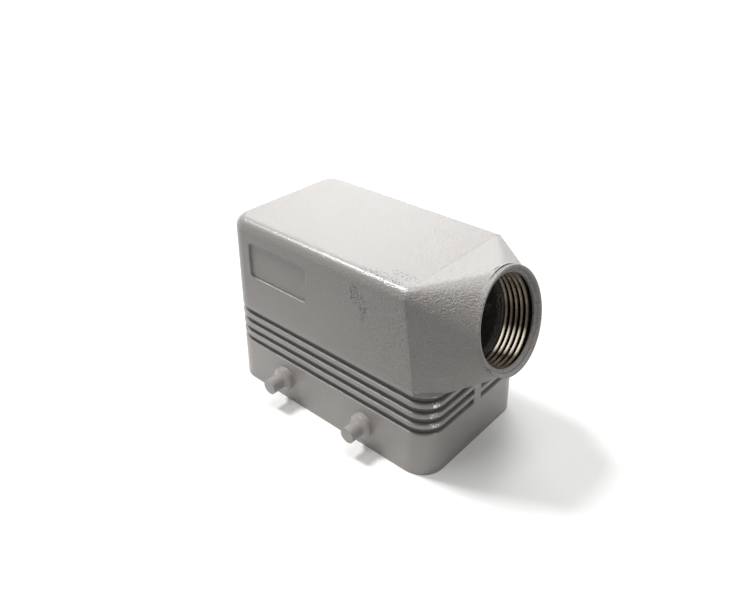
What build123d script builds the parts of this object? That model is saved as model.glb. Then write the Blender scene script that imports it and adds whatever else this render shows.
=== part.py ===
"""Heavy duty rectangular connector: a die-cast hood with an angled side cable entry, over a ten-pole pin insert.

Frame: the origin is the centre of the hood's mating rim, on the plane of the rim. +X runs along the hood
towards the cable entry, -Y is the face with the recessed name panel, and +Z points away from the mating side.
All sizes are millimetres.
"""
import os
from math import cos, radians, sin, tan

from build123d import *

# Screw holes, shanks and pin holes, which their screws and pins fill, are drawn with flat sides
SMALL_ROUND_SIDES = 16

# Hood: outer form
HOOD_LENGTH = 73.0
HOOD_WIDTH = 43.0
HOOD_CORNER = 7.0
HOOD_HEIGHT = 52.0
DRAFT = 1.5
TOP_ROUND = 3.0
WALL = 2.8
SKIRT_HEIGHT = 24.8
SKIRT_BEVEL = 3.0
SKIRT_CAVITY_TOP = 27.0
CAVITY_CORNER = 2.5

# Grooves round the skirt, left out across a narrow web below the cable entry
GROOVE_COUNT = 4
GROOVE_PITCH = 3.15
GROOVE_FIRST = 14.2
GROOVE_MOUTH = 1.9
GROOVE_FLOOR = 1.2
GROOVE_DEPTH = 0.9
WEB_WIDTH = 3.0

# Cable entry: a round mouth, tilted up, and the shoulder that leads to it
ENTRY_OVERHANG = 7.0
ENTRY_HEIGHT = 41.3
ENTRY_TILT = 14.4
ENTRY_RIM = 13.5
ENTRY_THREAD = 12.5
ENTRY_DEPTH = 11.0
ENTRY_STOP = 11.3
ENTRY_PASSAGE = 21.0
ENTRY_COLLAR = 1.2
ENTRY_COLLAR_STEP = 0.15
ENTRY_LEAD_IN = 0.5
SHOULDER_INSET = 8.0
SHOULDER_TILT = 9.0
SHOULDER_FOOT = 21.5
SHOULDER_LOW_ROUND = 5.5
SHOULDER_SPARE = 12.0
SHOULDER_STEP = 0.02
FAN_STEPS = 12
NECK_RADIUS = 12.0
NECK_SLOPE = 42.5
NECK_LENGTH = 24.0

# Recessed name panel on the front face
PANEL_X = -16.0
PANEL_Z = 41.1
PANEL_LENGTH = 22.0
PANEL_HEIGHT = 10.6
PANEL_CORNER = 1.4
PANEL_DEPTH = 0.5

# Locking pegs, cast on the two long sides
PEG_SPACING = 30.0
PEG_HEIGHT = 7.2
PEG_RADIUS = 2.2
PEG_LENGTH = 6.2
PEG_COLLAR = 3.4
PEG_COLLAR_LENGTH = 1.3

# Posts inside the hood that carry the insert
FIXING_INSET = 8.0
POST_RADIUS = 3.6
POST_FOOT = 19.5
POST_TOP_ENTRY = 36.0
FIXING_THREAD = 2.0
FIXING_DEPTH = 12.0

# Insert: insulator
COLUMNS = 5
POLE_PITCH = 8.0
ROW_SPACING = 13.0
BLOCK_END_GAP = 6.5
BLOCK_SIDE_MARGIN = 0.5
BLOCK_TOP = 35.0
BLOCK_BASE = 17.0
BLOCK_CORNER = 1.5
TRAY_WIDTH = 22.0
TRAY_FLOOR = 12.0
TRAY_RIM = 8.5
TRAY_WALL = 1.4
LUG_INNER = 4.0
LUG_SIDE_GAP = 1.6
LUG_MARGIN = 3.0
LUG_THICKNESS = 4.0
WELL_FLOOR = 22.0
FIT_CLEARANCE = 0.1

# Insert: contacts and their terminals
PIN_RADIUS = 1.25
PIN_TIP = 3.5
PIN_NOSE = 0.9
TERMINAL_SIZE = 5.2
TERMINAL_HEIGHT = 9.0
WIRE_HOLE = 2.6
WIRE_DEPTH = 7.0
TERMINAL_SCREW_RADIUS = 1.5
TERMINAL_SCREW_STAND = 1.6
TERMINAL_WINDOW = 4.0

# Insert: earth brackets and their hardware
BRACKET_THICKNESS = 1.2
BRACKET_END_MARGIN = 3.1
BRACKET_SIDE_MARGIN = 3.5
BRACKET_CORNER = 2.5
BRACKET_TONGUE_WIDTH = 6.0
BRACKET_TONGUE_TIP = 8.0
BRACKET_INSET = 0.6
EARTH_THREAD = 2.0
EARTH_SHANK = 8.0
SADDLE_SIZE = 8.0
SADDLE_THICKNESS = 1.2
SADDLE_LIP = 2.0
SCREW_HEAD = 3.4
SCREW_HEAD_LENGTH = 2.8
SLOT_WIDTH = 1.0
SLOT_DEPTH = 1.1
THREAD_CLEARANCE = 0.05
FIXING_SHANK = 8.0

# Places that follow from the sizes above
draft_slope = tan(radians(DRAFT))
fixing_x = HOOD_LENGTH / 2 - FIXING_INSET
fixing_y = HOOD_WIDTH / 2 - FIXING_INSET
shoulder_x = HOOD_LENGTH / 2 - SHOULDER_INSET
block_length = 2 * (fixing_x - BLOCK_END_GAP)
block_width = 2 * (fixing_y + BLOCK_SIDE_MARGIN)
bracket_underside = POST_FOOT - BRACKET_THICKNESS
terminal_screw_height = WELL_FLOOR + TERMINAL_HEIGHT / 2
shoulder_plane = Plane(
    origin=(shoulder_x, 0, ENTRY_HEIGHT),
    x_dir=(0, 1, 0),
    z_dir=(cos(radians(SHOULDER_TILT)), 0, sin(radians(SHOULDER_TILT))),
)
mouth_plane = Plane(
    origin=(HOOD_LENGTH / 2 + ENTRY_OVERHANG, 0, ENTRY_HEIGHT),
    x_dir=(0, 1, 0),
    z_dir=(cos(radians(ENTRY_TILT)), 0, sin(radians(ENTRY_TILT))),
)
panel_plane = Plane(
    origin=(PANEL_X, PANEL_Z * draft_slope - HOOD_WIDTH / 2, PANEL_Z),
    x_dir=(1, 0, 0),
    z_dir=(0, -cos(radians(DRAFT)), sin(radians(DRAFT))),
)


def half_width(z):
    """Half the hood's outer width at height z."""
    return HOOD_WIDTH / 2 - z * draft_slope


def shoulder_corners():
    """The shoulder's corners in the upright section: centre, radius, first and last angle, lower right first."""
    corners = []
    for radius, z in (
        (SHOULDER_LOW_ROUND, SHOULDER_FOOT + SHOULDER_LOW_ROUND),
        (TOP_ROUND, HOOD_HEIGHT - SHOULDER_STEP - TOP_ROUND),
    ):
        corners.append((half_width(z) - SHOULDER_STEP - radius / cos(radians(DRAFT)), z, radius))
    (low_y, low_z, low_radius), (high_y, high_z, high_radius) = corners
    return (
        (low_y, low_z, low_radius, -90, DRAFT),
        (high_y, high_z, high_radius, DRAFT, 90),
        (-high_y, high_z, high_radius, 90, 180 - DRAFT),
        (-low_y, low_z, low_radius, 180 - DRAFT, 270),
    )


def triangle(*corners):
    """A flat face between three points."""
    return Face(Wire.make_polygon(corners))


def transition():
    """The body that runs from the shoulder to the collar: flat facets with a fan of strips at each corner."""
    end_plane = mouth_plane.offset(-ENTRY_COLLAR)
    end_radius = ENTRY_RIM - ENTRY_COLLAR_STEP
    pairs = []
    for quarter, (y, z, radius, first, last) in enumerate(shoulder_corners()):
        for step in range(FAN_STEPS + 1):
            angle = radians(first + (last - first) * step / FAN_STEPS)
            height = (z + radius * sin(angle) - ENTRY_HEIGHT) / cos(radians(SHOULDER_TILT))
            turn = radians(90 * (quarter - 1 + step / FAN_STEPS))
            pairs.append(
                (
                    shoulder_plane.from_local_coords((y + radius * cos(angle), height, 0)),
                    end_plane.from_local_coords((end_radius * cos(turn), end_radius * sin(turn), 0)),
                )
            )
    faces = []
    for (near, far), (next_near, next_far) in zip(pairs, pairs[1:] + pairs[:1]):
        faces.append(triangle(near, next_near, next_far))
        if (next_far - far).length > ENTRY_COLLAR_STEP:
            faces.append(triangle(near, next_far, far))
    round_end = [far for number, (near, far) in enumerate(pairs) if number % (FAN_STEPS + 1) > 0]
    faces.append(Face(Wire.make_polygon([near for near, far in pairs])))
    faces.append(Face(Wire.make_polygon(round_end)))
    return Solid(Shell(faces))


def neck():
    """The round underside of the entry, from its collar down to the end wall of the skirt."""
    slope = radians(NECK_SLOPE)
    rise = (ENTRY_RIM - ENTRY_COLLAR_STEP) - NECK_RADIUS / cos(slope - radians(ENTRY_TILT))
    end_plane = mouth_plane.offset(-ENTRY_COLLAR)
    start = end_plane.from_local_coords((0, -rise, 0))
    with BuildPart() as body:
        with BuildSketch(Plane(origin=start, x_dir=(0, 1, 0), z_dir=(cos(slope), 0, sin(slope)))):
            Circle(NECK_RADIUS)
        extrude(amount=NECK_LENGTH, both=True)
        split(bisect_by=end_plane, keep=Keep.BOTTOM)
    return body.part


def upper_body():
    """The drafted body above the skirt, with its rounded roof edge, cut off at the shoulder."""
    length = HOOD_LENGTH / 2 + shoulder_x + SHOULDER_SPARE - SKIRT_HEIGHT * draft_slope
    with BuildPart() as body:
        with BuildSketch(Plane.XY.offset(SKIRT_HEIGHT)):
            with Locations((shoulder_x + SHOULDER_SPARE - length / 2, 0)):
                RectangleRounded(length, 2 * half_width(SKIRT_HEIGHT), HOOD_CORNER - SKIRT_HEIGHT * draft_slope)
        extrude(amount=HOOD_HEIGHT - SKIRT_HEIGHT, taper=DRAFT)
        fillet(body.faces().sort_by(Axis.Z)[-1].edges(), TOP_ROUND)
        split(bisect_by=shoulder_plane, keep=Keep.BOTTOM)
    return body.part


def skirt():
    """The skirt with the level ledge's bevel, before the grooves are cut."""
    with BuildPart() as body:
        with BuildSketch():
            RectangleRounded(HOOD_LENGTH, HOOD_WIDTH, HOOD_CORNER)
        extrude(amount=SKIRT_HEIGHT + SKIRT_BEVEL, taper=DRAFT)
        chamfer(body.faces().sort_by(Axis.Z)[-1].edges(), SKIRT_BEVEL)
    return body.part


def cavity(height):
    """The room inside the walls up to the given height."""
    with BuildPart() as room:
        with BuildSketch() as floor:
            Rectangle(HOOD_LENGTH - 2 * WALL, HOOD_WIDTH - 2 * WALL)
            chamfer(floor.vertices(), CAVITY_CORNER)
        extrude(amount=height, taper=DRAFT)
    return room.part


def peg(x, side):
    """A locking pin with its sloped collar, square to a long side of the hood."""
    plane = Plane(origin=(x, side * half_width(PEG_HEIGHT), PEG_HEIGHT), x_dir=(1, 0, 0), z_dir=(0, 0, side))
    with BuildPart() as body:
        with BuildSketch(plane):
            with BuildLine():
                Polyline(
                    (0, PEG_LENGTH),
                    (0, -WALL / 2),
                    (PEG_COLLAR, -WALL / 2),
                    (PEG_COLLAR, PEG_COLLAR_LENGTH),
                    (PEG_RADIUS, PEG_COLLAR_LENGTH + PEG_COLLAR - PEG_RADIUS),
                    (PEG_RADIUS, PEG_LENGTH),
                    close=True,
                )
            make_face()
        revolve(axis=Axis((x, 0, PEG_HEIGHT), (0, 1, 0)))
    return body.part


def groove(height):
    """The cutter of one groove: a tapered channel that follows the skirt from one side of the web to the other."""
    x = HOOD_LENGTH / 2 - height * draft_slope
    y = half_width(height)
    web = WEB_WIDTH / 2
    with BuildPart() as cutter:
        with BuildLine(Plane.XY.offset(height)) as route:
            FilletPolyline((x, web), (x, y), (-x, y), (-x, -y), (x, -y), (x, -web), radius=HOOD_CORNER)
        with BuildSketch(Plane(origin=(x, web, height), x_dir=(1, 0, 0), z_dir=(0, 1, 0))):
            with BuildLine():
                Polyline(
                    (-GROOVE_DEPTH, -GROOVE_FLOOR / 2),
                    (GROOVE_DEPTH, -GROOVE_MOUTH + GROOVE_FLOOR / 2),
                    (GROOVE_DEPTH, GROOVE_MOUTH - GROOVE_FLOOR / 2),
                    (-GROOVE_DEPTH, GROOVE_FLOOR / 2),
                    close=True,
                )
            make_face()
        sweep(path=route.wires()[0])
    return cutter.part


def is_mouth_bore(edge):
    """True for the edge where the thread meets the mouth of the entry."""
    return abs(edge.radius - ENTRY_THREAD) < 0.01 and (edge.arc_center - mouth_plane.origin).length < 0.01


# Hood: the casting
with BuildPart() as hood:
    add(upper_body())
    add(skirt())
    for row in range(GROOVE_COUNT):
        add(groove(GROOVE_FIRST + row * GROOVE_PITCH), mode=Mode.SUBTRACT)
    # Shoulder, neck and collar of the cable entry
    add(transition())
    add(neck())
    with BuildSketch(mouth_plane):
        Circle(ENTRY_RIM)
    extrude(amount=-ENTRY_COLLAR)
    # Cavity: the body's, which ends a wall behind the shoulder, and the skirt's
    add(cavity(HOOD_HEIGHT - WALL).split(shoulder_plane.offset(-WALL), keep=Keep.BOTTOM), mode=Mode.SUBTRACT)
    add(cavity(SKIRT_CAVITY_TOP), mode=Mode.SUBTRACT)
    # Bore: the thread and the passage behind its stop
    with BuildSketch(mouth_plane):
        Circle(ENTRY_THREAD)
    extrude(amount=-ENTRY_DEPTH, mode=Mode.SUBTRACT)
    with BuildSketch(mouth_plane):
        Circle(ENTRY_STOP)
    extrude(amount=-ENTRY_PASSAGE, mode=Mode.SUBTRACT)
    chamfer(hood.edges().filter_by(GeomType.CIRCLE).filter_by(is_mouth_bore), ENTRY_LEAD_IN)
    # Name panel, sunk square to the drafted front face
    with BuildSketch(panel_plane):
        RectangleRounded(PANEL_LENGTH, PANEL_HEIGHT, PANEL_CORNER)
    extrude(amount=-PANEL_DEPTH, mode=Mode.SUBTRACT)
    # Locking pegs
    for x in (-PEG_SPACING / 2, PEG_SPACING / 2):
        for side in (-1, 1):
            add(peg(x, side))
    # Posts for the insert's fixing screws, each with a web to its side wall
    for x, top in ((-fixing_x, HOOD_HEIGHT - WALL / 2), (fixing_x, POST_TOP_ENTRY)):
        with BuildSketch(Plane.XY.offset(POST_FOOT)):
            for side in (-1, 1):
                with Locations((x, side * fixing_y)):
                    Circle(POST_RADIUS)
                web_length = half_width(top) - WALL / 2 - fixing_y
                with Locations((x, side * (fixing_y + web_length / 2))):
                    Rectangle(2 * POST_RADIUS, web_length)
        extrude(amount=top - POST_FOOT)
    with BuildSketch(Plane.XY.offset(POST_FOOT)):
        with GridLocations(2 * fixing_x, 2 * fixing_y, 2, 2):
            RegularPolygon(FIXING_THREAD, SMALL_ROUND_SIDES)
    extrude(amount=FIXING_DEPTH, mode=Mode.SUBTRACT)
hood.part.label = "hood_housing"


def slotted_screw(thread, shank, head, head_length):
    """A cheese-head screw: its seat is at z = 0, the shank below and the slotted head above."""
    with BuildPart() as screw:
        with BuildSketch():
            RegularPolygon(thread - THREAD_CLEARANCE, SMALL_ROUND_SIDES)
        extrude(amount=-shank)
        with BuildSketch():
            Circle(head)
        extrude(amount=head_length)
        with BuildSketch(Plane.XY.offset(head_length)):
            Rectangle(4 * head, SLOT_WIDTH)
        extrude(amount=-SLOT_DEPTH, mode=Mode.SUBTRACT)
    return screw.part


# Insert: where the poles stand, counted from the rear, front row first
poles = [
    ((column - (COLUMNS - 1) / 2) * POLE_PITCH, side * ROW_SPACING / 2, side)
    for side in (-1, 1)
    for column in range(COLUMNS)
]
well = TERMINAL_SIZE + 2 * FIT_CLEARANCE
lug_plane = Plane.XY.offset(bracket_underside - LUG_THICKNESS)
lug_length = BLOCK_END_GAP + LUG_MARGIN
lug_width = fixing_y - SCREW_HEAD - LUG_SIDE_GAP - LUG_INNER
screw_face = ROW_SPACING / 2 + TERMINAL_SIZE / 2 + TERMINAL_SCREW_STAND

# Insert: the insulator
with BuildPart() as insulator:
    with BuildSketch(Plane.XY.offset(BLOCK_BASE)):
        RectangleRounded(block_length, block_width, BLOCK_CORNER)
    extrude(amount=BLOCK_TOP - BLOCK_BASE)
    with BuildSketch(Plane.XY.offset(TRAY_RIM)):
        RectangleRounded(block_length, TRAY_WIDTH, BLOCK_CORNER)
    extrude(amount=BLOCK_BASE - TRAY_RIM)
    with BuildSketch(Plane.XY.offset(TRAY_RIM)):
        RectangleRounded(block_length - 2 * TRAY_WALL, TRAY_WIDTH - 2 * TRAY_WALL, BLOCK_CORNER / 2)
    extrude(amount=TRAY_FLOOR - TRAY_RIM, mode=Mode.SUBTRACT)
    # Lugs that the earth brackets bear on, two at each end
    with BuildSketch(lug_plane):
        for side in (-1, 1):
            for end in (-1, 1):
                with Locations((end * (block_length + lug_length) / 2, side * (LUG_INNER + lug_width / 2))):
                    Rectangle(lug_length, lug_width)
    extrude(amount=LUG_THICKNESS)
    # Wells for the terminals, pin holes and screw windows
    with BuildSketch(Plane.XY.offset(WELL_FLOOR)):
        for x, y, side in poles:
            with Locations((x, y)):
                Rectangle(well, well)
    extrude(amount=BLOCK_TOP - WELL_FLOOR, mode=Mode.SUBTRACT)
    with BuildSketch(Plane.XY.offset(TRAY_FLOOR)):
        for x, y, side in poles:
            with Locations((x, y)):
                RegularPolygon(PIN_RADIUS + FIT_CLEARANCE, SMALL_ROUND_SIDES, major_radius=False)
    extrude(amount=WELL_FLOOR - TRAY_FLOOR, mode=Mode.SUBTRACT)
    for x, y, side in poles:
        with BuildSketch(Plane(origin=(x, y, terminal_screw_height), x_dir=(1, 0, 0), z_dir=(0, side, 0))):
            Rectangle(TERMINAL_WINDOW, TERMINAL_WINDOW)
        extrude(amount=block_width / 2, mode=Mode.SUBTRACT)
insulator.part.label = "contact_insulator"


def contact(x, y, side):
    """A turned pin with a square screw terminal on top: wire hole from above, screw hole from outside."""
    with BuildPart() as body:
        with BuildSketch(Plane.XY.offset(PIN_TIP)):
            with Locations((x, y)):
                Circle(PIN_RADIUS)
        extrude(amount=WELL_FLOOR - PIN_TIP)
        chamfer(body.faces().sort_by(Axis.Z)[0].edges(), PIN_NOSE, PIN_NOSE / 2)
        with BuildSketch(Plane.XY.offset(WELL_FLOOR)):
            with Locations((x, y)):
                Rectangle(TERMINAL_SIZE, TERMINAL_SIZE)
        extrude(amount=TERMINAL_HEIGHT)
        with BuildSketch(Plane.XY.offset(WELL_FLOOR + TERMINAL_HEIGHT)):
            with Locations((x, y)):
                Rectangle(WIRE_HOLE, WIRE_HOLE)
        extrude(amount=-WIRE_DEPTH, mode=Mode.SUBTRACT)
        with BuildSketch(Plane(origin=(x, y, terminal_screw_height), x_dir=(1, 0, 0), z_dir=(0, side, 0))):
            RegularPolygon(TERMINAL_SCREW_RADIUS, SMALL_ROUND_SIDES)
        extrude(amount=TERMINAL_SIZE / 2, mode=Mode.SUBTRACT)
    return body.part


contacts = [contact(*pole) for pole in poles]

# Insert: the headless screws of the terminals, each in its contact's window
with BuildPart() as terminal_screw:
    with BuildSketch():
        RegularPolygon(TERMINAL_SCREW_RADIUS - THREAD_CLEARANCE, SMALL_ROUND_SIDES)
    extrude(amount=-TERMINAL_SCREW_STAND - TERMINAL_SIZE / 2)
    with BuildSketch():
        Rectangle(3 * TERMINAL_SCREW_RADIUS, SLOT_WIDTH)
    extrude(amount=-SLOT_DEPTH, mode=Mode.SUBTRACT)
terminal_screws = Compound(
    [
        Plane(origin=(x, side * screw_face, terminal_screw_height), x_dir=(0, 0, 1), z_dir=(0, side, 0))
        * terminal_screw.part.solid()
        for x, y, side in poles
    ]
)

# Insert: earth brackets, each with a tongue that hangs between the lugs
tongue_x = block_length / 2 + BRACKET_INSET
bracket_length = fixing_x + BRACKET_END_MARGIN - tongue_x
bracket_width = 2 * (fixing_y + BRACKET_SIDE_MARGIN)


def earth_bracket(end):
    """A plate under two posts, pierced for the fixing screws and the earth screw, with its tongue bent down."""
    with BuildPart() as plate:
        with BuildSketch(Plane.XY.offset(bracket_underside)):
            with Locations((end * (tongue_x + bracket_length / 2), 0)):
                plain = Rectangle(bracket_length, bracket_width)
            chamfer(plain.vertices(), BRACKET_CORNER)
            with Locations((end * fixing_x, -fixing_y), (end * fixing_x, fixing_y)):
                RegularPolygon(FIXING_THREAD + FIT_CLEARANCE, SMALL_ROUND_SIDES, mode=Mode.SUBTRACT)
            with Locations((end * fixing_x, 0)):
                RegularPolygon(EARTH_THREAD, SMALL_ROUND_SIDES, mode=Mode.SUBTRACT)
        extrude(amount=BRACKET_THICKNESS)
        with BuildSketch(Plane.XY.offset(BRACKET_TONGUE_TIP)):
            with Locations((end * (tongue_x + BRACKET_THICKNESS / 2), 0)):
                Rectangle(BRACKET_THICKNESS, BRACKET_TONGUE_WIDTH)
        extrude(amount=POST_FOOT - BRACKET_TONGUE_TIP)
    return plate.part


earth_bracket_entry = earth_bracket(1)
earth_bracket_rear = earth_bracket(-1)


def earth_saddle(end):
    """The square clamp under an earth screw, with its outer edge turned down round the wire."""
    with BuildPart() as saddle:
        with BuildSketch(Plane.XY.offset(POST_FOOT + SADDLE_LIP)):
            with Locations((end * fixing_x, 0)):
                Rectangle(SADDLE_SIZE, SADDLE_SIZE)
                RegularPolygon(EARTH_THREAD + FIT_CLEARANCE, SMALL_ROUND_SIDES, mode=Mode.SUBTRACT)
        extrude(amount=SADDLE_THICKNESS)
        with BuildSketch(Plane.XY.offset(POST_FOOT)):
            for side in (-1, 1):
                with Locations((end * fixing_x, side * (SADDLE_SIZE - SADDLE_THICKNESS) / 2)):
                    Rectangle(SADDLE_SIZE, SADDLE_THICKNESS)
        extrude(amount=SADDLE_LIP)
    return saddle.part


earth_clamp_entry = earth_saddle(1)
earth_clamp_rear = earth_saddle(-1)

# Insert: earth screws from above, fixing screws from the mating side
earth_screw = slotted_screw(EARTH_THREAD, EARTH_SHANK, SCREW_HEAD, SCREW_HEAD_LENGTH)
saddle_top = POST_FOOT + SADDLE_LIP + SADDLE_THICKNESS
earth_screws = Compound([Pos(end * fixing_x, 0, saddle_top) * earth_screw.solid() for end in (-1, 1)])
fixing_screw = slotted_screw(FIXING_THREAD, FIXING_SHANK, SCREW_HEAD, SCREW_HEAD_LENGTH)
fixing_screws = Compound(
    [
        Plane(origin=(x, y, bracket_underside), x_dir=(0, 1, 0), z_dir=(0, 0, -1)) * fixing_screw.solid()
        for x in (-fixing_x, fixing_x)
        for y in (-fixing_y, fixing_y)
    ]
)

named_parts = {
    "hood_housing": hood.part,
    "contact_insulator": insulator.part,
    "terminal_screws": terminal_screws,
    "earth_bracket_entry": earth_bracket_entry,
    "earth_bracket_rear": earth_bracket_rear,
    "earth_clamp_entry": earth_clamp_entry,
    "earth_clamp_rear": earth_clamp_rear,
    "earth_screws": earth_screws,
    "fixing_screws": fixing_screws,
}
for number, piece in enumerate(contacts, start=1):
    named_parts[f"contact_{number}"] = piece

os.makedirs("parts", exist_ok=True)
for name, piece in named_parts.items():
    piece.label = name
    export_step(piece, f"parts/{name}.step")
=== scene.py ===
from math import cos, pi, radians, sin, tan

import bpy
from mathutils import Matrix, Vector


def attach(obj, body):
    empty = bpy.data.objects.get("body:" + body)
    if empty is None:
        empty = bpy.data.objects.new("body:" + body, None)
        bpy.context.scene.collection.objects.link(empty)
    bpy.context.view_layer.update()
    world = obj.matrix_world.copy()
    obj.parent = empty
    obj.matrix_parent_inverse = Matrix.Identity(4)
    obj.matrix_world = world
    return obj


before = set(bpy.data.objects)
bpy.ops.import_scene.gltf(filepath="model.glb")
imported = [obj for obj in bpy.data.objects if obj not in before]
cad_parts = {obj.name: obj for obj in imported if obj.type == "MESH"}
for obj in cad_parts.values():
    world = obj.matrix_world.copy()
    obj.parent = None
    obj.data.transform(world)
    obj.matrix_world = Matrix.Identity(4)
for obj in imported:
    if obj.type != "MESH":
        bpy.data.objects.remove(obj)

MM = 0.001

# The camera that the photograph was fitted with
CAMERA_TARGET = Vector((-4.48, 5.77, 25.0)) * MM
CAMERA_AZIMUTH = radians(41.3)
CAMERA_ELEVATION = radians(31.87)
CAMERA_ROLL = radians(-0.13)
CAMERA_DISTANCE = 200.55 * MM
CAMERA_LENS = 33.04

# Sizes in millimetres that the looks share with the solids
ENTRY_MOUTH = (43.5, 0.0, 41.3)
ENTRY_TILT = radians(14.4)
ENTRY_THREAD = 12.5
ENTRY_DEPTH = 11.0
DRAFT = radians(1.5)
CORNER_X = 29.5
CORNER_Y = 14.5
CORNER_RADIUS = 7.0
WALL = 2.8
ROOF = 52.0
SKIRT_TOP = 24.8
SKIRT_CAVITY_TOP = 27.0
SHOULDER_X = 28.0
GROOVES_FOOT = 13.0
GROOVE_DEPTH = 0.9

# How far a mask or the thread's rib reaches past the face where it ends
OVERLAP = 0.1

# Thread of the cable entry, M25 x 1.5: a rib that starts behind the land and runs out at both ends. Its
# section is a blunt triangle on its side: the wide root stands across the radius, half of it in the wall, and
# the rib narrows from there along the axis, towards the mouth.
THREAD_PITCH = 1.5
THREAD_HEIGHT = 0.85
THREAD_ROOT = 2.0
THREAD_CREST = 0.35
THREAD_START = 2.0
THREAD_RUN_OUT_TURNS = 0.3
THREAD_STEPS = 96

# Corners of the rib's section: the width that a corner lies on, and its shares across and along the axis
RIB_CORNERS = (
    ("Rib Root", -0.5, 0.0),
    ("Rib Root", 0.5, 0.0),
    ("Rib Crest", 0.5, -1.0),
    ("Rib Crest", -0.5, -1.0),
)

# Chamfered land between the mouth of the entry and the first full turn of its thread: depth and radius
LAND_SECTION = ((0.3, 12.8), (1.2, 11.6), (1.6, 11.6), (2.1, 12.6))
BARE_BORE_DEPTH = LAND_SECTION[2][0] + OVERLAP

# The side of the thread where a bright glint is painted on the crests, low and away from the name panel
PAINTED_GLINT_SIDE = (0.0, cos(radians(305)), sin(radians(305)))

# Patterns of the hood's surface: size in millimetres, detail and roughness of the noise
HOOD_PATTERNS = {
    "clouds": (14.0, 3.0, 0.55),
    "grain": (0.5, 2.0, 0.55),
    "marks": (0.5, 2.0, 0.6),
    "cast_skin": (3.0, 3.0, 0.55),
    "cut_metal": (2.5, 3.0, 0.55),
    "orange_peel": (0.45, 2.0, 0.55),
}

# Leather grain of the coat: how wide its pebbles are, and how deep the whole relief is
LEATHER_PEBBLES = 0.9
COAT_RELIEF = 0.1

# Dark marks on the coat: centre, half sizes, and the pattern's levels from none to full.
# Two are scuffs on the front, two are rows of specks on the roof and one is dirt at the rim of the entry.
DARK_MARKS = (
    ((11.7, -20.4, 45.6), (1.8, 2.0, 3.6), (0.53, 0.58)),
    ((14.4, -20.5, 42.4), (1.5, 2.0, 5.0), (0.53, 0.58)),
    ((18.0, -17.4, 52.0), (8.0, 1.8, 2.0), (0.56, 0.61)),
    ((22.0, -14.5, 52.0), (5.0, 2.2, 2.0), (0.56, 0.61)),
    ((45.2, -11.5, 34.6), (1.6, 2.0, 2.2), (0.48, 0.56)),
)

# Bright chips down the skirt's corner: centre and half sizes
CHIPS = ((35.5, -17.6, 19.4), (1.7, 2.0, 7.6))

# The turning lines on the contacts lie this far apart, much coarser than life, and are a faint relief
TURNING_LINES = 1.57

SMOOTH = {"interpolation_type": "SMOOTHSTEP"}
COMPARISONS = {">": "GREATER_THAN", "<": "LESS_THAN"}


def linear(colour):
    """An sRGB hex colour as linear red, green, blue and alpha."""
    channels = [int(colour[i:i + 2], 16) / 255 for i in (1, 3, 5)]
    return [c / 12.92 if c <= 0.04045 else ((c + 0.055) / 1.055) ** 2.4 for c in channels] + [1.0]


def add_node(tree, kind, inputs=(), **settings):
    """Adds a node with its settings, sets or links its inputs in order or by key, and gives its outputs."""
    node = tree.nodes.new(kind)
    for name, value in settings.items():
        setattr(node, name, value)
    for key, value in inputs.items() if isinstance(inputs, dict) else enumerate(inputs):
        if isinstance(value, bpy.types.NodeSocket):
            tree.links.new(value, node.inputs[key])
        else:
            node.inputs[key].default_value = value
    return node.outputs


def new_material(name):
    """A material with an empty tree, and its Object coordinates in millimetres."""
    material = bpy.data.materials.new(name)
    material.use_nodes = True
    tree = material.node_tree
    tree.nodes.clear()
    place = add_node(tree, "ShaderNodeTexCoord")["Object"]
    millimetres = add_node(tree, "ShaderNodeVectorMath", {0: place, "Scale": 1 / MM}, operation="SCALE")[0]
    return material, tree, millimetres


def give_finish(tree, finish):
    """Ends a material's tree with its shader, whose sockets take what finish holds."""
    shader = add_node(tree, "ShaderNodeBsdfPrincipled", finish)[0]
    add_node(tree, "ShaderNodeOutputMaterial", {"Surface": shader})


def paint(tree, ground, *layers):
    """A ground colour with other colours laid over it in turn, each where its mask is 1."""
    colour = linear(ground)
    for mask, over in layers:
        over = linear(over) if isinstance(over, str) else over
        colour = add_node(tree, "ShaderNodeMix", {0: mask, 6: colour, 7: over}, data_type="RGBA")[2]
    return colour


def where_all(tree, *masks):
    """The product of masks. A mask may be a factor, or a value with a sign and the limit that it passes."""
    joined = 1.0
    for mask in masks:
        if isinstance(mask, tuple):
            value, sign, limit = mask
            mask = add_node(tree, "ShaderNodeMath", [value, limit], operation=COMPARISONS[sign])[0]
        joined = add_node(tree, "ShaderNodeMath", [joined, mask], operation="MULTIPLY")[0]
    return joined


def where_any(tree, *masks):
    """The highest of masks at each point."""
    joined = 0.0
    for mask in masks:
        joined = add_node(tree, "ShaderNodeMath", [joined, mask], operation="MAXIMUM")[0]
    return joined


def wrinkles(tree, place, size):
    """Leather grain: rounded pebbles of about size millimetres with soft worm-like valleys between them."""
    pattern = {"Vector": place, "Scale": 1 / size, "Detail": 1.0, "Roughness": 0.5, "Distortion": 0.4}
    wander = add_node(tree, "ShaderNodeTexNoise", pattern)[0]
    offset = add_node(tree, "ShaderNodeMath", [wander, 0.5], operation="SUBTRACT")[0]
    apart = add_node(tree, "ShaderNodeMath", [offset], operation="ABSOLUTE")[0]
    return add_node(tree, "ShaderNodeMapRange", [apart, -0.02, 0.16], **SMOOTH)[0]


def blob(tree, place, centre, reach):
    """A mask of 1 at centre that falls to 0 at an ellipsoid of the given half sizes."""
    apart = add_node(tree, "ShaderNodeVectorMath", [place, centre], operation="SUBTRACT")[0]
    scaled = add_node(tree, "ShaderNodeVectorMath", [apart, reach], operation="DIVIDE")[0]
    length = add_node(tree, "ShaderNodeVectorMath", [scaled], operation="LENGTH")["Value"]
    return add_node(tree, "ShaderNodeMapRange", [length, 0.55, 1.0, 1.0, 0.0], **SMOOTH)[0]


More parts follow.
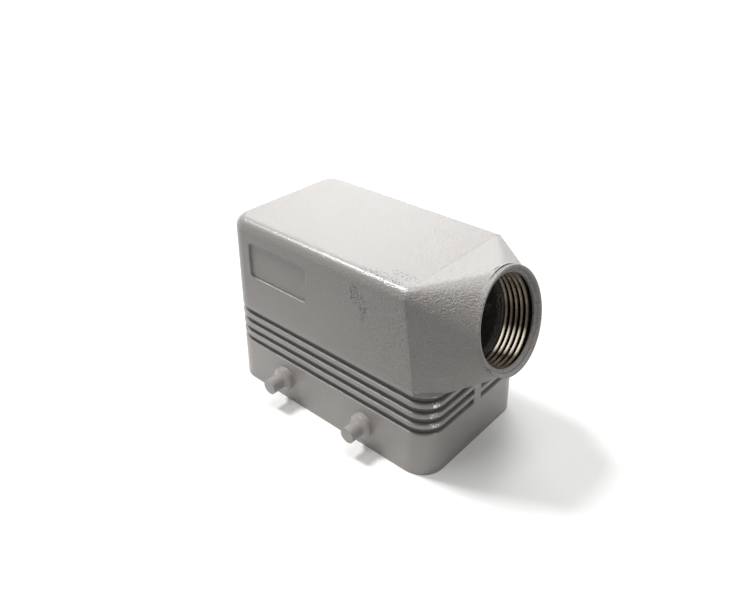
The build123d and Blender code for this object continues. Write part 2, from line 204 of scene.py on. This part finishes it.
def entry_place(tree, place):
    """How far a point lies outwards of the entry's mouth, and its offset and distance from the axis."""
    turn = {"Vector": place, "Center": ENTRY_MOUTH, "Axis": (0, 1, 0), "Angle": ENTRY_TILT}
    upright = add_node(tree, "ShaderNodeVectorRotate", turn)[0]
    centred = add_node(tree, "ShaderNodeVectorMath", [upright, ENTRY_MOUTH], operation="SUBTRACT")[0]
    along = add_node(tree, "ShaderNodeSeparateXYZ", [centred])["X"]
    across = add_node(tree, "ShaderNodeVectorMath", [centred, (0, 1, 1)], operation="MULTIPLY")[0]
    return along, across, add_node(tree, "ShaderNodeVectorMath", [across], operation="LENGTH")["Value"]


def depth_in_wall(tree, place):
    """How deep a point lies behind the drafted outer faces of the hood."""
    quarter = add_node(tree, "ShaderNodeVectorMath", [place], operation="ABSOLUTE")[0]
    corner = (CORNER_X, CORNER_Y, 0)
    beyond = add_node(tree, "ShaderNodeVectorMath", [quarter, corner], operation="SUBTRACT")[0]
    beyond = add_node(tree, "ShaderNodeVectorMath", [beyond, (0, 0, 0)], operation="MAXIMUM")[0]
    beyond = add_node(tree, "ShaderNodeVectorMath", [beyond, (1, 1, 0)], operation="MULTIPLY")[0]
    reach = add_node(tree, "ShaderNodeVectorMath", [beyond], operation="LENGTH")["Value"]
    height = add_node(tree, "ShaderNodeSeparateXYZ", [place])["Z"]
    outer = add_node(
        tree, "ShaderNodeMath", [height, -tan(DRAFT), CORNER_RADIUS], operation="MULTIPLY_ADD"
    )[0]
    return add_node(tree, "ShaderNodeMath", [outer, reach], operation="SUBTRACT")[0]


def inside_hood(tree, place, depth, along, radius):
    """A mask of the surfaces inside the hood: behind half the wall, under the roof, and in the passage."""
    x, _, z = add_node(tree, "ShaderNodeSeparateXYZ", [place])
    # Past the shoulder the wall thickens from the top of the skirt to the top of the cavity
    extra = (SKIRT_CAVITY_TOP - SKIRT_TOP) / 2
    thicker = add_node(tree, "ShaderNodeMapRange", [z, SKIRT_TOP, SKIRT_CAVITY_TOP, 0.0, extra])[0]
    thicker = where_all(tree, thicker, (x, ">", SHOULDER_X))
    limit = add_node(tree, "ShaderNodeMath", [thicker, WALL / 2], operation="ADD")[0]
    above_cavity = where_all(tree, (x, ">", SHOULDER_X), (z, ">", SKIRT_CAVITY_TOP + OVERLAP))
    room = where_all(tree, (depth, ">", limit), (z, "<", ROOF - WALL / 2), (above_cavity, "<", 0.5))
    passage = where_all(
        tree, (radius, "<", ENTRY_THREAD - OVERLAP), (along, "<", OVERLAP - ENTRY_DEPTH), (x, ">", 0.0)
    )
    return where_any(tree, room, passage)


# Die-cast aluminium, powder coated in grey after casting: the coat lies smooth on the skirt and pebbled like
# leather on the body and round the entry. Inside, the cast skin is bare and dull, its colour painted dark as
# shade.
# The thread was cut after coating, so the bore shows bare metal, its colour painted dark as shade.
def powder_coated_casting():
    material, tree, place = new_material("powder_coated_casting")
    x, _, z = add_node(tree, "ShaderNodeSeparateXYZ", [place])
    along, _, radius = entry_place(tree, place)
    depth = depth_in_wall(tree, place)
    patterns = {
        name: add_node(
            tree,
            "ShaderNodeTexNoise",
            {"Vector": place, "Scale": 1 / size, "Detail": detail, "Roughness": roughness},
        )[0]
        for name, (size, detail, roughness) in HOOD_PATTERNS.items()
    }
    bare_and_shaded = inside_hood(tree, place, depth, along, radius)
    bore = where_all(
        tree,
        (radius, "<", ENTRY_THREAD + 0.02),
        (along, ">", OVERLAP - ENTRY_DEPTH),
        (along, "<", -BARE_BORE_DEPTH),
    )

    # The grained body above the ledge is painted darker on its sides than on its roof, partly grime and
    # partly painted shade, and its roof edges are rubbed smooth
    normal = add_node(tree, "ShaderNodeNewGeometry")["Normal"]
    facing_up = add_node(tree, "ShaderNodeSeparateXYZ", [normal])["Z"]
    upper = add_node(tree, "ShaderNodeMapRange", [z, SKIRT_TOP - 0.6, SKIRT_TOP + 2.5], **SMOOTH)[0]
    steep = add_node(tree, "ShaderNodeMapRange", [facing_up, 0.6, 0.97, 1.0, 0.25], **SMOOTH)[0]
    body = where_all(tree, upper, steep)
    leaning = add_node(tree, "ShaderNodeMapRange", [facing_up, 0.3, 0.6], **SMOOTH)[0]
    not_flat = add_node(tree, "ShaderNodeMapRange", [facing_up, 0.93, 0.99, 1.0, 0.0], **SMOOTH)[0]
    wear_and_glint = where_all(tree, leaning, not_flat, (z, ">", ROOF - 3.0), (x, "<", SHOULDER_X))

    # Painted shade in the grooves, dark marks, and bright chips where the skirt's corner was knocked
    in_groove = add_node(tree, "ShaderNodeMapRange", [depth, 0.25, GROOVE_DEPTH - 0.1], **SMOOTH)[0]
    groove_shade = where_all(tree, in_groove, (z, ">", GROOVES_FOOT), (z, "<", SKIRT_TOP), 0.85)
    dark = []
    for centre, reach, levels in DARK_MARKS:
        spots = add_node(tree, "ShaderNodeMapRange", [patterns["marks"], *levels], **SMOOTH)[0]
        dark.append(where_all(tree, blob(tree, place, centre, reach), spots, 0.9))
    outside = add_node(tree, "ShaderNodeMapRange", [depth, 0.3, 0.6, 1.0, 0.0], **SMOOTH)[0]
    flakes = add_node(tree, "ShaderNodeMapRange", [patterns["grain"], 0.5, 0.56], **SMOOTH)[0]
    chips = where_all(tree, blob(tree, place, *CHIPS), outside, flakes)
    speckle = add_node(tree, "ShaderNodeMapRange", [patterns["grain"], 0.35, 0.7, 0.0, 0.25], **SMOOTH)[0]
    colour = paint(
        tree,
        "#9d9996",
        (patterns["clouds"], "#a3a09d"),
        (speckle, "#96928e"),
        # the body's sides darker than its roof: partly grime, partly painted shade
        (where_all(tree, body, 0.55), "#8c8784"),
        # painted shade in the grooves
        (groove_shade, "#55504c"),
        (where_any(tree, *dark), "#332e2b"),
        (chips, "#d8d6d2"),
        # the bare inside and the bare bore, both painted dark as shade
        (bare_and_shaded, paint(tree, "#4f4b46", (patterns["cast_skin"], "#65615b"))),
        (bore, paint(tree, "#3f3a33", (patterns["cut_metal"], "#575047"))),
    )

    # Relief: the leather grain grows towards the entry, orange peel lies over everything
    toward_entry = add_node(tree, "ShaderNodeMapRange", [x, -5.0, 30.0, 0.25, 1.0], **SMOOTH)[0]
    leather = where_all(tree, body, toward_entry, wrinkles(tree, place, LEATHER_PEBBLES))
    relief = add_node(
        tree, "ShaderNodeMath", [patterns["orange_peel"], 1.4, leather], operation="MULTIPLY_ADD"
    )[0]
    worn = where_any(tree, bore, where_all(tree, wear_and_glint, 0.5))
    coated = add_node(tree, "ShaderNodeMath", [1.0, worn], operation="SUBTRACT")[0]

    # The coat fills the creases of the transition and rounds its rim, so edges are softest there
    past_body = add_node(tree, "ShaderNodeMapRange", [x, 24.0, 29.0], **SMOOTH)[0]
    behind_mouth = add_node(tree, "ShaderNodeMapRange", [along, -0.1, -0.5], **SMOOTH)[0]
    transition = where_all(tree, upper, past_body, behind_mouth)
    edge_radius = add_node(tree, "ShaderNodeMapRange", {0: transition, 3: 0.5 * MM, 4: 2.0 * MM})[0]
    soft_edge = add_node(tree, "ShaderNodeBevel", {"Radius": edge_radius}, samples=8)[0]
    surface = add_node(
        tree,
        "ShaderNodeBump",
        {
            "Strength": 1.0,
            "Distance": COAT_RELIEF * MM,
            "Height": where_all(tree, relief, coated),
            "Normal": soft_edge,
        },
    )[0]
    roughness = add_node(tree, "ShaderNodeMapRange", {0: bare_and_shaded, 3: 0.38, 4: 0.65})[0]
    roughness = add_node(tree, "ShaderNodeMath", [wear_and_glint, -0.14, roughness], operation="MULTIPLY_ADD")[0]
    give_finish(tree, {
        "Base Color": colour,
        "Metallic": where_any(tree, bore, chips),
        "Roughness": roughness,
        "Normal": surface,
        "Coat Weight": 0.25,
        "Coat Roughness": 0.2,
        "Coat Normal": surface,
    })
    return material


# Cut thread in bare aluminium, its metal painted dark as shade in the bore: a glint is painted bright on the
# crests low on the far side, and the roots are painted darker than the crests as shade
def cut_aluminium_thread():
    material, tree, place = new_material("cut_aluminium_thread")
    _, across, radius = entry_place(tree, place)
    clouds, grain = [
        add_node(
            tree,
            "ShaderNodeTexNoise",
            {"Vector": place, "Scale": 1 / size, "Detail": 3.0, "Roughness": 0.55},
        )[0]
        for size in (5.0, 0.6)
    ]
    toward = add_node(tree, "ShaderNodeVectorMath", [across, PAINTED_GLINT_SIDE], operation="DOT_PRODUCT")["Value"]
    toward = add_node(tree, "ShaderNodeMath", [toward, radius], operation="DIVIDE")[0]
    # Painted glint: the crests are coloured bright on this side
    wear_and_glint = add_node(tree, "ShaderNodeMapRange", [toward, cos(radians(22)), cos(radians(2))], **SMOOTH)[0]
    cloudy = add_node(tree, "ShaderNodeMapRange", [clouds, 0.38, 0.62], **SMOOTH)[0]
    top = ENTRY_THREAD - THREAD_HEIGHT + 0.05
    # Painted shade: the roots are coloured darker than the crests
    crest = add_node(tree, "ShaderNodeMapRange", [radius, top, ENTRY_THREAD - 0.3, 1.0, 0.0], **SMOOTH)[0]
    # The crests' metal is painted dark as shade, with the painted glint laid over it
    crest_colour = paint(tree, "#484139", (cloudy, "#665d52"), (wear_and_glint, "#f0e6d2"))
    give_finish(tree, {
        "Base Color": paint(tree, "#453e35", (crest, crest_colour)),
        "Metallic": 1.0,
        "Roughness": add_node(tree, "ShaderNodeMapRange", [grain, 0.3, 0.7, 0.2, 0.34], **SMOOTH)[0],
    })
    return material


# Glass-filled polycarbonate, injection moulded: a fine spark-eroded grain, dull, with slight flow clouds
def moulded_polycarbonate():
    material, tree, place = new_material("moulded_polycarbonate")
    clouds, grain = [
        add_node(
            tree,
            "ShaderNodeTexNoise",
            {"Vector": place, "Scale": 1 / size, "Detail": detail, "Roughness": 0.55},
        )[0]
        for size, detail in ((9.0, 3.0), (0.3, 2.0))
    ]
    give_finish(tree, {
        "Base Color": paint(tree, "#c4c3bb", (clouds, "#cdccc5")),
        "Roughness": 0.55,
        "Normal": add_node(
            tree, "ShaderNodeBump", {"Strength": 0.5, "Distance": 0.04 * MM, "Height": grain}
        )[0],
    })
    return material


# Silver-plated copper alloy, turned: pale warm metal with turning lines across the pin
def silver_plated_contact():
    material, tree, place = new_material("silver_plated_contact")
    tarnish = add_node(
        tree, "ShaderNodeTexNoise", {"Vector": place, "Scale": 1 / 3.0, "Detail": 3.0, "Roughness": 0.55}
    )[0]
    # At scale 1 a band of the wave is a tenth of pi wide
    lines = add_node(
        tree,
        "ShaderNodeTexWave",
        {"Vector": place, "Scale": pi / 10 / TURNING_LINES, "Distortion": 0.4},
        wave_type="BANDS",
        bands_direction="Z",
    )[1]
    give_finish(tree, {
        "Base Color": paint(tree, "#d9d4c8", (tarnish, "#c9c1b0")),
        "Metallic": 1.0,
        "Roughness": 0.27,
        "Normal": add_node(
            tree, "ShaderNodeBump", {"Strength": 0.3, "Distance": 0.02 * MM, "Height": lines}
        )[0],
    })
    return material


# Zinc-plated steel, stamped or turned: bluish grey with a cloudy passivation that also changes its gloss
def zinc_plated_steel(name, gloss, first, second):
    material, tree, place = new_material(name)
    clouds = add_node(
        tree, "ShaderNodeTexNoise", {"Vector": place, "Scale": 1 / 2.2, "Detail": 4.0, "Roughness": 0.55}
    )[0]
    give_finish(tree, {
        "Base Color": paint(tree, first, (clouds, second)),
        "Metallic": 1.0,
        "Roughness": add_node(
            tree, "ShaderNodeMapRange", [clouds, 0.3, 0.7, gloss, gloss + 0.14], **SMOOTH
        )[0],
    })
    return material


def thread_tree():
    """Geometry Nodes: one rib wound on a helix inside the bore."""
    tree = bpy.data.node_groups.new("internal_thread", "GeometryNodeTree")
    for name in ("Radius", "Length", "Pitch", "Rib Height", "Rib Root", "Rib Crest", "Run-out Turns"):
        tree.interface.new_socket(name, in_out="INPUT", socket_type="NodeSocketFloat")
    tree.interface.new_socket("Steps per Turn", in_out="INPUT", socket_type="NodeSocketInt")
    tree.interface.new_socket("Material", in_out="INPUT", socket_type="NodeSocketMaterial")
    tree.interface.new_socket("Geometry", in_out="OUTPUT", socket_type="NodeSocketGeometry")
    given = add_node(tree, "NodeGroupInput")
    turns = add_node(tree, "ShaderNodeMath", [given["Length"], given["Pitch"]], operation="DIVIDE")[0]
    spiral = {
        "Resolution": given["Steps per Turn"],
        "Rotations": turns,
        "Start Radius": given["Radius"],
        "End Radius": given["Radius"],
        "Height": given["Length"],
    }
    helix = add_node(tree, "GeometryNodeCurveSpiral", spiral)[0]
    # From the Z axis on to the X axis, leading inwards
    laid = {"Geometry": helix, "Rotation": (-pi / 2, 0, pi / 2)}
    helix = add_node(tree, "GeometryNodeTransform", laid)[0]
    point = add_node(tree, "GeometryNodeInputPosition")[0]
    outward = add_node(tree, "ShaderNodeVectorMath", [point, (0, 1, 1)], operation="MULTIPLY")[0]
    helix = add_node(tree, "GeometryNodeSetCurveNormal", {"Curve": helix, "Normal": outward}, mode="FREE")[0]
    # The rib runs out flat at both ends
    passed = add_node(tree, "GeometryNodeSplineParameter")["Factor"]
    left = add_node(tree, "ShaderNodeMath", [1.0, passed], operation="SUBTRACT")[0]
    from_end = add_node(tree, "ShaderNodeMath", [passed, left], operation="MINIMUM")[0]
    from_end = add_node(tree, "ShaderNodeMath", [from_end, turns], operation="MULTIPLY")[0]
    size = add_node(
        tree, "ShaderNodeMapRange", [from_end, 0.0, given["Run-out Turns"], 0.1, 1.0], **SMOOTH
    )[0]
    corners = {}
    for number, (width, side, level) in enumerate(RIB_CORNERS, 1):
        across = add_node(tree, "ShaderNodeMath", [given[width], side], operation="MULTIPLY")[0]
        ahead = add_node(tree, "ShaderNodeMath", [given["Rib Height"], level], operation="MULTIPLY")[0]
        corners[f"Point {number}"] = add_node(tree, "ShaderNodeCombineXYZ", [across, ahead])[0]
    section = add_node(tree, "GeometryNodeCurvePrimitiveQuadrilateral", corners, mode="POINTS")[0]
    rib = add_node(
        tree,
        "GeometryNodeCurveToMesh",
        {"Curve": helix, "Profile Curve": section, "Scale": size, "Fill Caps": True},
    )[0]
    rib = add_node(tree, "GeometryNodeRealizeInstances", [rib])[0]
    rib = add_node(tree, "GeometryNodeSetMaterial", {"Geometry": rib, "Material": given["Material"]})[0]
    add_node(tree, "NodeGroupOutput", [rib])
    return tree


def plain_mesh(name, tree, inputs):
    """An object with the plain mesh that a Geometry Nodes tree makes with these named inputs."""
    holder = bpy.data.objects.new(name, bpy.data.meshes.new(name + "_base"))
    bpy.context.collection.objects.link(holder)
    modifier = holder.modifiers.new("make", "NODES")
    modifier.node_group = tree
    sockets = {s.name: s.identifier for s in tree.interface.items_tree if s.item_type == "SOCKET"}
    for key, value in inputs.items():
        modifier[sockets[key]] = value
    evaluated = holder.evaluated_get(bpy.context.evaluated_depsgraph_get())
    mesh = bpy.data.meshes.new_from_object(evaluated)
    holder.modifiers.clear()
    holder.data = mesh
    return holder


def at_entry(mesh, start=0.0):
    """Moves a mesh made round the X axis to the entry's mouth, or start millimetres out from it."""
    mouth = Matrix.Translation(Vector(ENTRY_MOUTH) * MM) @ Matrix.Rotation(-ENTRY_TILT, 4, "Y")
    mesh.transform(mouth @ Matrix.Translation((start * MM, 0, 0)))


def entry_land(material):
    """The chamfered land at the mouth, a ring of the section above, coated like the rim."""
    turns = [2 * pi * step / THREAD_STEPS for step in range(THREAD_STEPS)]
    corners = [
        (-depth * MM, radius * MM * cos(turn), radius * MM * sin(turn))
        for turn in turns
        for depth, radius in LAND_SECTION
    ]
    size = len(LAND_SECTION)
    faces = []
    for step in range(THREAD_STEPS):
        here = step * size
        ahead = (step + 1) % THREAD_STEPS * size
        for row in range(size):
            after = (row + 1) % size
            faces.append((here + row, here + after, ahead + after, ahead + row))
    mesh = bpy.data.meshes.new("entry_land")
    mesh.from_pydata(corners, [], faces)
    at_entry(mesh)
    mesh.materials.append(material)
    land = bpy.data.objects.new("entry_land", mesh)
    bpy.context.collection.objects.link(land)
    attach(land, "root")


def entry_thread(material):
    """The cut thread of the cable entry, from its lead-in to its stop, sunk in the wall."""
    thread = plain_mesh(
        "entry_thread",
        thread_tree(),
        {
            "Radius": (ENTRY_THREAD + OVERLAP) * MM,
            "Length": (ENTRY_DEPTH - THREAD_START - THREAD_CREST / 2) * MM,
            "Pitch": THREAD_PITCH * MM,
            "Rib Height": (THREAD_HEIGHT + OVERLAP) * MM,
            "Rib Root": THREAD_ROOT * MM,
            "Rib Crest": THREAD_CREST * MM,
            "Run-out Turns": THREAD_RUN_OUT_TURNS,
            "Steps per Turn": THREAD_STEPS,
            "Material": material,
        },
    )
    at_entry(thread.data, -THREAD_START)
    thread.data.shade_smooth()
    thread.data.set_sharp_from_angle(angle=radians(60))
    thread.data.materials.clear()
    thread.data.materials.append(material)
    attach(thread, "root")


def dress_nodes():
    """Gives each CAD node the material of its real counterpart, and adds the entry's land and thread."""
    casting = powder_coated_casting()
    silver = silver_plated_contact()
    stamped = zinc_plated_steel("stamped_zinc_plated_steel", 0.32, "#a9aaa8", "#bcbcb8")
    turned = zinc_plated_steel("turned_zinc_plated_steel", 0.24, "#b4b6b8", "#c6c6c4")
    finishes = {
        "hood_housing": casting,
        "contact_insulator": moulded_polycarbonate(),
        "earth_bracket_entry": stamped,
        "earth_bracket_rear": stamped,
    }
    for name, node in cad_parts.items():
        finish = finishes.get(name, silver if name.startswith("contact_") else turned)
        for slot in node.material_slots:
            slot.material = finish
    entry_land(casting)
    entry_thread(cut_aluminium_thread())


def pale_floor():
    """A wide white floor that shows the object's soft shadow and throws light back only near the object.

    What the camera and gloss see of it is lifted a little, and far away, where the room meets it, to white.
    """
    corners = [(6.0 * x, 6.0 * y, 0) for x, y in ((-1, -1), (1, -1), (1, 1), (-1, 1))]
    mesh = bpy.data.meshes.new("floor")
    mesh.from_pydata(corners, [], [(0, 1, 2, 3)])
    floor = bpy.data.objects.new("floor", mesh)
    bpy.context.collection.objects.link(floor)
    material, tree, place = new_material("white_paper")
    away = add_node(tree, "ShaderNodeVectorMath", [place], operation="LENGTH")["Value"]
    far = add_node(tree, "ShaderNodeMapRange", [away, 50.0, 170.0], **SMOOTH)[0]
    lift = add_node(tree, "ShaderNodeMapRange", [away, 150.0, 600.0, 0.13, 1.0], **SMOOTH)[0]
    thrown = add_node(tree, "ShaderNodeBsdfDiffuse", {"Color": paint(tree, "#efeeec", (far, "#3c3a38"))})[0]
    white = add_node(tree, "ShaderNodeBsdfDiffuse", {"Color": linear("#efefee")})[0]
    glow = add_node(tree, "ShaderNodeEmission", {"Strength": lift})[0]
    shown = add_node(tree, "ShaderNodeAddShader", [white, glow])[0]
    rays = add_node(tree, "ShaderNodeLightPath")
    seen = where_any(tree, rays["Is Camera Ray"], rays["Is Glossy Ray"])
    paper = add_node(tree, "ShaderNodeMixShader", [seen, thrown, shown])[0]
    add_node(tree, "ShaderNodeOutputMaterial", {"Surface": paper})
    mesh.materials.append(material)


def studio_lights():
    """A lamp high on the left, one above, a low one behind that glances off the roof, and a dim room."""
    for name, place, size, power in (
        ("key_softbox", (-2.05, -0.44, 3.4), 0.7, 117.0),
        ("overhead_softbox", (0.1, 0.3, 4.0), 2.0, 70.0),
        ("rear_softbox", (-2.24, 2.56, 2.12), 2.0, 54.0),
    ):
        lamp = bpy.data.lights.new(name, "AREA")
        lamp.size = size
        lamp.energy = power
        holder = bpy.data.objects.new(name, lamp)
        holder.location = place
        aim = Vector((0, 0, 0.02)) - Vector(place)
        holder.rotation_euler = aim.to_track_quat("-Z", "Y").to_euler()
        bpy.context.collection.objects.link(holder)
    world = bpy.data.worlds.new("room")
    world.use_nodes = True
    tree = world.node_tree
    tree.nodes.clear()
    rays = add_node(tree, "ShaderNodeLightPath")
    seen = where_any(tree, rays["Is Camera Ray"], rays["Is Glossy Ray"], rays["Is Transmission Ray"])
    strength = add_node(tree, "ShaderNodeMapRange", {0: seen, 3: 0.19, 4: 1.0})[0]
    room = add_node(tree, "ShaderNodeBackground", {"Color": linear("#ffffff"), "Strength": strength})[0]
    add_node(tree, "ShaderNodeOutputWorld", {"Surface": room})
    bpy.context.scene.world = world


def photo_camera():
    """The camera at the photograph's place, with its angle of view."""
    data = bpy.data.cameras.new("camera")
    data.lens = CAMERA_LENS
    data.sensor_width = 36.0
    data.clip_start = 0.01
    camera = bpy.data.objects.new("camera", data)
    level = cos(CAMERA_ELEVATION)
    back = Vector((sin(CAMERA_AZIMUTH) * level, -cos(CAMERA_AZIMUTH) * level, sin(CAMERA_ELEVATION)))
    camera.location = CAMERA_TARGET + back * CAMERA_DISTANCE
    camera.rotation_mode = "QUATERNION"
    roll = Matrix.Rotation(CAMERA_ROLL, 3, back).to_quaternion()
    camera.rotation_quaternion = roll @ (-back).to_track_quat("-Z", "Y")
    bpy.context.collection.objects.link(camera)
    bpy.context.scene.camera = camera


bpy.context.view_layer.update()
dress_nodes()
pale_floor()
studio_lights()
photo_camera()
bpy.context.scene.view_settings.view_transform = "Standard"
